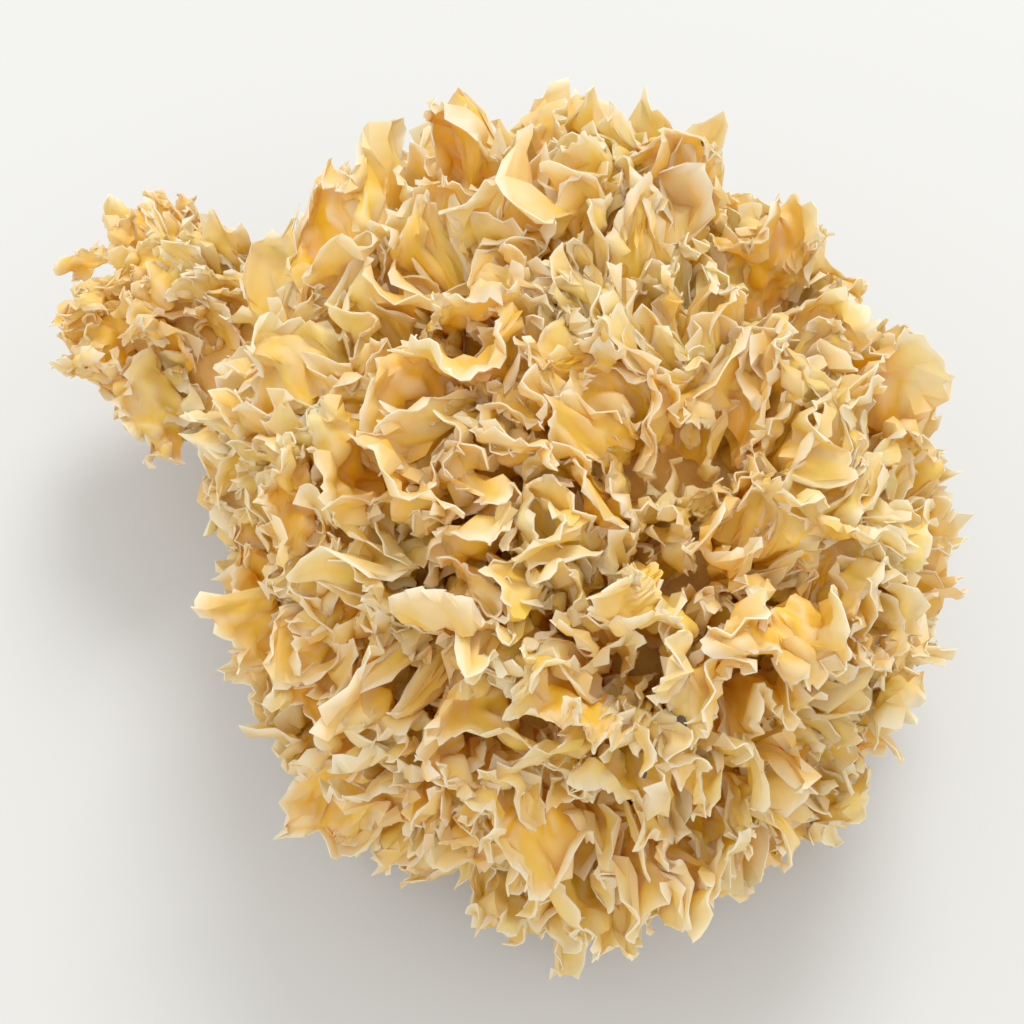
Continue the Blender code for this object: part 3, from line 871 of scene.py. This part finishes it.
# A ramp between greys at places, for a socket that takes a number
def greyRamp(material, source, places, greys):
    return colourRamp(material, source, [(place, (grey,) * 3 + (1,)) for place, grey in zip(places, greys)])


# Noise in the object's own coordinates, with features of one size in metres
def noise(material, size, detail):
    place = material.node_tree.nodes.new("ShaderNodeTexCoord")
    node = newNode(material, "ShaderNodeTexNoise", Scale=1 / size, Detail=detail)
    wire(material, place.outputs["Object"], node.inputs["Vector"])
    return node.outputs["Fac"]


# One step of arithmetic on two values, each a number or another node's output
def newMath(material, operation, first, second):
    node = material.node_tree.nodes.new("ShaderNodeMath")
    node.operation = operation
    for value, socket in ((first, node.inputs[0]), (second, node.inputs[1])):
        if isinstance(value, bpy.types.NodeSocket):
            wire(material, value, socket)
        else:
            socket.default_value = value
    return node.outputs["Value"]


# Two colours mixed or multiplied, each a value or another node's output
def mixColours(material, share, first, second, blend="MIX"):
    node = material.node_tree.nodes.new("ShaderNodeMix")
    node.data_type, node.blend_type = "RGBA", blend
    for value, name in ((share, "Factor_Float"), (first, "A_Color"), (second, "B_Color")):
        socket = next(s for s in node.inputs if s.identifier == name)
        if isinstance(value, bpy.types.NodeSocket):
            wire(material, value, socket)
        else:
            socket.default_value = value
    return next(s for s in node.outputs if s.identifier == "Result_Color")


def freshMaterial(name):
    material = bpy.data.materials.new(name)
    material.use_nodes = True
    material.node_tree.nodes.clear()
    output = material.node_tree.nodes.new("ShaderNodeOutputMaterial")
    return material, output


# Dried tissue: the colour rises from amber at the root to cream at the margin, partly its own tone and
# partly painted shade, stained in patches and painted darker amber as shade deep in the folds, and
# mottled by the grain. Over its thin upper part some of the light goes through and comes out warmer
def driedTissue():
    look, white = tissueLook, (1, 1, 1, 1)
    material, output = freshMaterial("driedTissue")

    def mapParts(name):
        node = material.node_tree.nodes.new("ShaderNodeUVMap")
        node.uv_map = name
        parts = material.node_tree.nodes.new("ShaderNodeSeparateXYZ")
        wire(material, node.outputs["UV"], parts.inputs["Vector"])
        return parts.outputs["X"], parts.outputs["Y"]

    nearness, upFrond = mapParts("frondMap")
    # The stain map holds real stains and the painted shade deep in the folds
    stain, crease = mapParts("toneMap")
    grain = noise(material, look["grainSize"], 0.0)
    colours = [look[name] for name in ("deep", "lower", "upper", "top")]
    # Amber low on the frond is partly its own tone and partly painted shade
    colour = colourRamp(material, upFrond, list(zip(look["colourPlaces"], colours)))
    tint = mixColours(material, stain, white, look["stain"])
    colour = mixColours(material, 1.0, colour, tint, "MULTIPLY")
    mottle = colourRamp(material, grain, list(zip(look["mottlePlaces"], (look["mottle"], white))))
    colour = mixColours(material, 1.0, colour, mottle, "MULTIPLY")
    creased = newMath(material, "MULTIPLY", crease, look["creaseShare"])
    colour = mixColours(material, newMath(material, "MAXIMUM", creased, nearness), colour, look["margin"])
    surface = newNode(material, "ShaderNodeBsdfPrincipled", Specular_IOR_Level=look["specular"])
    wire(material, colour, surface.inputs["Base Color"])
    roughness = greyRamp(material, grain, look["roughPlaces"], look["roughness"])
    wire(material, roughness, surface.inputs["Roughness"])
    through = newNode(material, "ShaderNodeBsdfTranslucent")
    wire(material, mixColours(material, 1.0, colour, look["through"], "MULTIPLY"), through.inputs["Color"])
    both = newNode(material, "ShaderNodeMixShader")
    share = greyRamp(material, upFrond, look["throughPlaces"], look["throughShare"])
    wire(material, share, both.inputs["Fac"])
    wire(material, surface.outputs["BSDF"], both.inputs[1])
    wire(material, through.outputs["BSDF"], both.inputs[2])
    wire(material, both.outputs["Shader"], output.inputs["Surface"])
    return material


# The heart's denser tissue: amber brown, darker in patches, with coarse pores
def heartTissue():
    look = heartLook
    material, output = freshMaterial("heartTissue")
    patches = noise(material, look["patchSize"], 3.0)
    colour = colourRamp(material, patches, list(zip(look["colourPlaces"], (look["shade"], look["colour"]))))
    surface = newNode(material, "ShaderNodeBsdfPrincipled", Roughness=look["roughness"])
    wire(material, colour, surface.inputs["Base Color"])
    bump = newNode(material, "ShaderNodeBump", Strength=look["poreStrength"], Distance=look["poreDepth"])
    wire(material, noise(material, look["poreSize"], 4.0), bump.inputs["Height"])
    wire(material, bump.outputs["Normal"], surface.inputs["Normal"])
    wire(material, surface.outputs["BSDF"], output.inputs["Surface"])
    return material


# A plain material of one colour
def plainMaterial(name, colour, roughness):
    material, output = freshMaterial(name)
    surface = newNode(material, "ShaderNodeBsdfPrincipled", Base_Color=colour, Roughness=roughness)
    wire(material, surface.outputs["BSDF"], output.inputs["Surface"])
    return material


# The triangles of a closed round shape made of rings of points: quads between rings, and small quads
# over the two poles
def ringFaces(count, segments):
    index = np.arange(count * segments).reshape(count, segments)
    onward = np.roll(index, -1, 1)
    sides = np.stack([index[:-1], onward[:-1], onward[1:], index[1:]], -1).reshape(-1, 4)
    low, high = np.arange(segments // 2 - 1), segments - 1 - np.arange(segments // 2 - 1)
    capLow = np.stack([index[0][low], index[0][high], index[0][high - 1], index[0][low + 1]], -1)
    capHigh = np.stack([index[-1][low], index[-1][low + 1], index[-1][high - 1], index[-1][high]], -1)
    return halved(np.concatenate([sides, capLow, capHigh]))


def ringPiece(name, rings, material):
    count, segments = rings.shape[:2]
    points = rings.reshape(-1, 3)
    return meshPiece(name, points, ringFaces(count, segments), np.zeros((len(points), 4)), material)


# The heart, the stem and the side lobe's heart, all pitted by the crumple waves. The hearts are eggs:
# a ball's rings times the half sizes. The foot is a cone with a flat cut end, and the stem a tapered bar
def heartPieces(waves, material):
    look, foot = heartLook, footShape
    turn = np.linspace(0, 2 * np.pi, look["segments"], endpoint=False)[None, :]
    circle = np.stack([np.cos(turn), np.sin(turn), 0 * turn], -1)
    down = np.linspace(look["poleAngle"], np.pi - look["poleAngle"], look["rings"])[:, None, None]
    upright = np.array([0, 0, 1.0])
    ball = circle * np.sin(down) - upright * np.cos(down)

    def pitted(rings):
        for each in waves:
            rings = rings + crumple(rings, each)
        return rings

    heart = np.array(headShape["heartMiddle"]) + ball * np.array(headShape["heartHalfSize"])
    ringPiece("heart", lifted(pitted(heart)), material)
    lobeHalfSize = np.array([look["lobeShare"] * size for size in lobeShape["heartHalfSize"]])
    ringPiece("lobe_heart", lifted(pitted(np.array(lobeShape["middle"]) + ball * lobeHalfSize)), material)
    rise = np.array(foot["rings"])[:, None, None]
    radius = foot["radiusLow"] + (foot["radiusHigh"] - foot["radiusLow"]) * rise
    bulges = 1 + foot["bulgeHeight"] * np.sin(foot["bulges"] * turn + 1)[..., None]
    radius = radius * (1 - foot["drawnIn"] * (rise == 0)) * bulges
    ringPiece("foot", circle * radius + upright * foot["height"] * rise, material)
    start, end = np.array(lobeShape["stemStart"]), np.array(lobeShape["middle"])
    along = unit(end - start)
    side = unit(np.cross(along, upright))
    rise = np.linspace(0, 1, look["stemRings"])[:, None, None]
    around = side * np.cos(turn)[..., None] + np.cross(along, side) * np.sin(turn)[..., None]
    thick, thin = lobeShape["stemRadii"]
    ringPiece("stem", pitted(start + (end - start) * rise + around * (thick + (thin - thick) * rise)), material)


# Dark specks caught in the tissue. Each: azimuth and elevation from the head's middle, half its length
# and half its thickness in millimetres
specks = (
    (165.6, 35.5, 0.75, 0.50),
    (173.4, 28.2, 0.45, 0.35),
    (28.0, 51.4, 0.40, 0.28),
    (30.5, 60.2, 0.70, 0.25),
    (155.8, 38.0, 0.35, 0.25),
)

# A speck's finish and make. It sits on a point that lies further out than a share of the points within
# a few degrees of its direction
speckLook = {
    "colour": (0.045, 0.022, 0.010, 1),
    "roughness": 0.7,
    "turns": 10,
    "levels": 7,
    "poleAngle": 0.25,
    "lumps": 0.25,
    "within": 2,
    "furtherThan": 0.9,
}


# Each speck is an egg on the tissue, lumpy by two sines that multiply
def speckPiece(tissuePoints):
    look = speckLook
    turns, levels, pole = look["turns"], look["levels"], look["poleAngle"]
    middle = np.array(headShape["middle"])
    reach = np.linalg.norm(tissuePoints - middle, axis=1)
    directions = (tissuePoints - middle) / reach[:, None]
    turn = np.linspace(0, 2 * np.pi, turns, endpoint=False)[None, :]
    down = np.linspace(pole, np.pi - pole, levels)[:, None]
    ball = [np.cos(turn) * np.sin(down), np.sin(turn) * np.sin(down), -np.cos(down) + 0 * turn]
    points, faces = [], []
    for place, (azimuth, elevation, length, thickness) in enumerate(specks):
        near = directions @ heading(azimuth, elevation) > np.cos(np.radians(look["within"]))
        centre = tissuePoints[near][np.argsort(reach[near])[int(look["furtherThan"] * near.sum())]]
        lumps = 1 + look["lumps"] * np.sin(2 * turn + place) * np.sin(3 * down + place)
        egg = np.stack(ball, -1) * lumps[..., None] * np.array([thickness, length, thickness]) / 1000
        points.append((centre + egg).reshape(-1, 3))
        faces.append(ringFaces(levels, turns) + levels * turns * place)
    points, faces = np.concatenate(points), np.concatenate(faces)
    material = plainMaterial("darkSpeck", look["colour"], look["roughness"])
    return meshPiece("specks", points, faces, np.zeros((len(points), 4)), material)


# The floor, the light and the camera, which looks as the photograph does. Light of the lamp that has
# bounced more often than lampBounces is left to the sky
studioLook = {
    "floorColour": (0.565, 0.565, 0.54, 1),
    "floorRoughness": 0.8,
    "floorSize": 4,
    "skyStrength": 1.05,
    "lampPlace": (0.32, 1.20, 1.60),
    "lampSize": 0.9,
    "lampPower": 24.0,
    "lampBounces": 2,
    "gamma": 1.38,
    "lens": 60,
    "lookAt": (-0.0075, 0.0022, 0.034),
    "distance": 0.215,
    "elevation": 60,
}


def studio():
    look, scene = studioLook, bpy.context.scene
    bpy.ops.mesh.primitive_plane_add(size=look["floorSize"])
    floor = bpy.context.object
    floor.name = "floor"
    floor.data.materials.append(plainMaterial("paleFloor", look["floorColour"], look["floorRoughness"]))
    world = bpy.data.worlds.new("softSky")
    world.use_nodes = True
    sky = world.node_tree.nodes["Background"]
    sky.inputs["Color"].default_value = (1, 1, 1, 1)
    sky.inputs["Strength"].default_value = look["skyStrength"]
    scene.world = world
    lamp = bpy.data.lights.new("windowLight", "AREA")
    lamp.shape, lamp.size, lamp.energy = "DISK", look["lampSize"], look["lampPower"]
    lamp.cycles.max_bounces = look["lampBounces"]
    lampObject = bpy.data.objects.new("windowLight", lamp)
    lampObject.location = look["lampPlace"]
    towards = Vector(look["lookAt"]) - Vector(look["lampPlace"])
    lampObject.rotation_euler = towards.to_track_quat("-Z", "Y").to_euler()
    scene.collection.objects.link(lampObject)
    camera = bpy.data.cameras.new("camera")
    camera.lens, camera.clip_start = look["lens"], 0.001
    cameraObject = bpy.data.objects.new("camera", camera)
    angle = math.radians(look["elevation"])
    back = Vector((0, -math.cos(angle), math.sin(angle)))
    cameraObject.location = Vector(look["lookAt"]) + back * look["distance"]
    cameraObject.rotation_euler = back.to_track_quat("Z", "Y").to_euler()
    scene.collection.objects.link(cameraObject)
    scene.camera = cameraObject
    scene.view_settings.view_transform = "Standard"
    scene.view_settings.gamma = look["gamma"]


studio()
print("studio ready")
tissue = driedTissue()
(broad, head, lobe), largeWaves = chosenFronds()
draw = np.random.default_rng(frillLook["seed"])
frills = headFrills(heading(*headShape["rosette"]), draw)
sideFrills = stacked([lobeFrills(draw), stemFrills(draw)])
for table in (broad, head, lobe, frills, sideFrills):
    table["own"] = draw.uniform(0, 1, len(table["height"]))
waves = [largeWaves]
for name in ("middle", "fine", "stain"):
    waves.append(crumpleWaves(crumpleSets[name], np.random.default_rng(crumpleSets[name]["seed"])))
print("fronds chosen")
made = [frondPiece("broad_sheets", broad, broadLook, waves, tissue)]
made += sharedOut("head_fronds", head, headLook, waves, tissue, 2)
made += [frondPiece("lobe_fronds", lobe, lobeLook, waves, tissue)]
made += sharedOut("head_frills", frills, frillLook, waves, tissue, 4)
made += [frondPiece("lobe_frills", sideFrills, frillLook, waves, tissue)]
heartPieces(waves[:2], heartTissue())
speckPiece(np.concatenate(made))
print("fronds made")
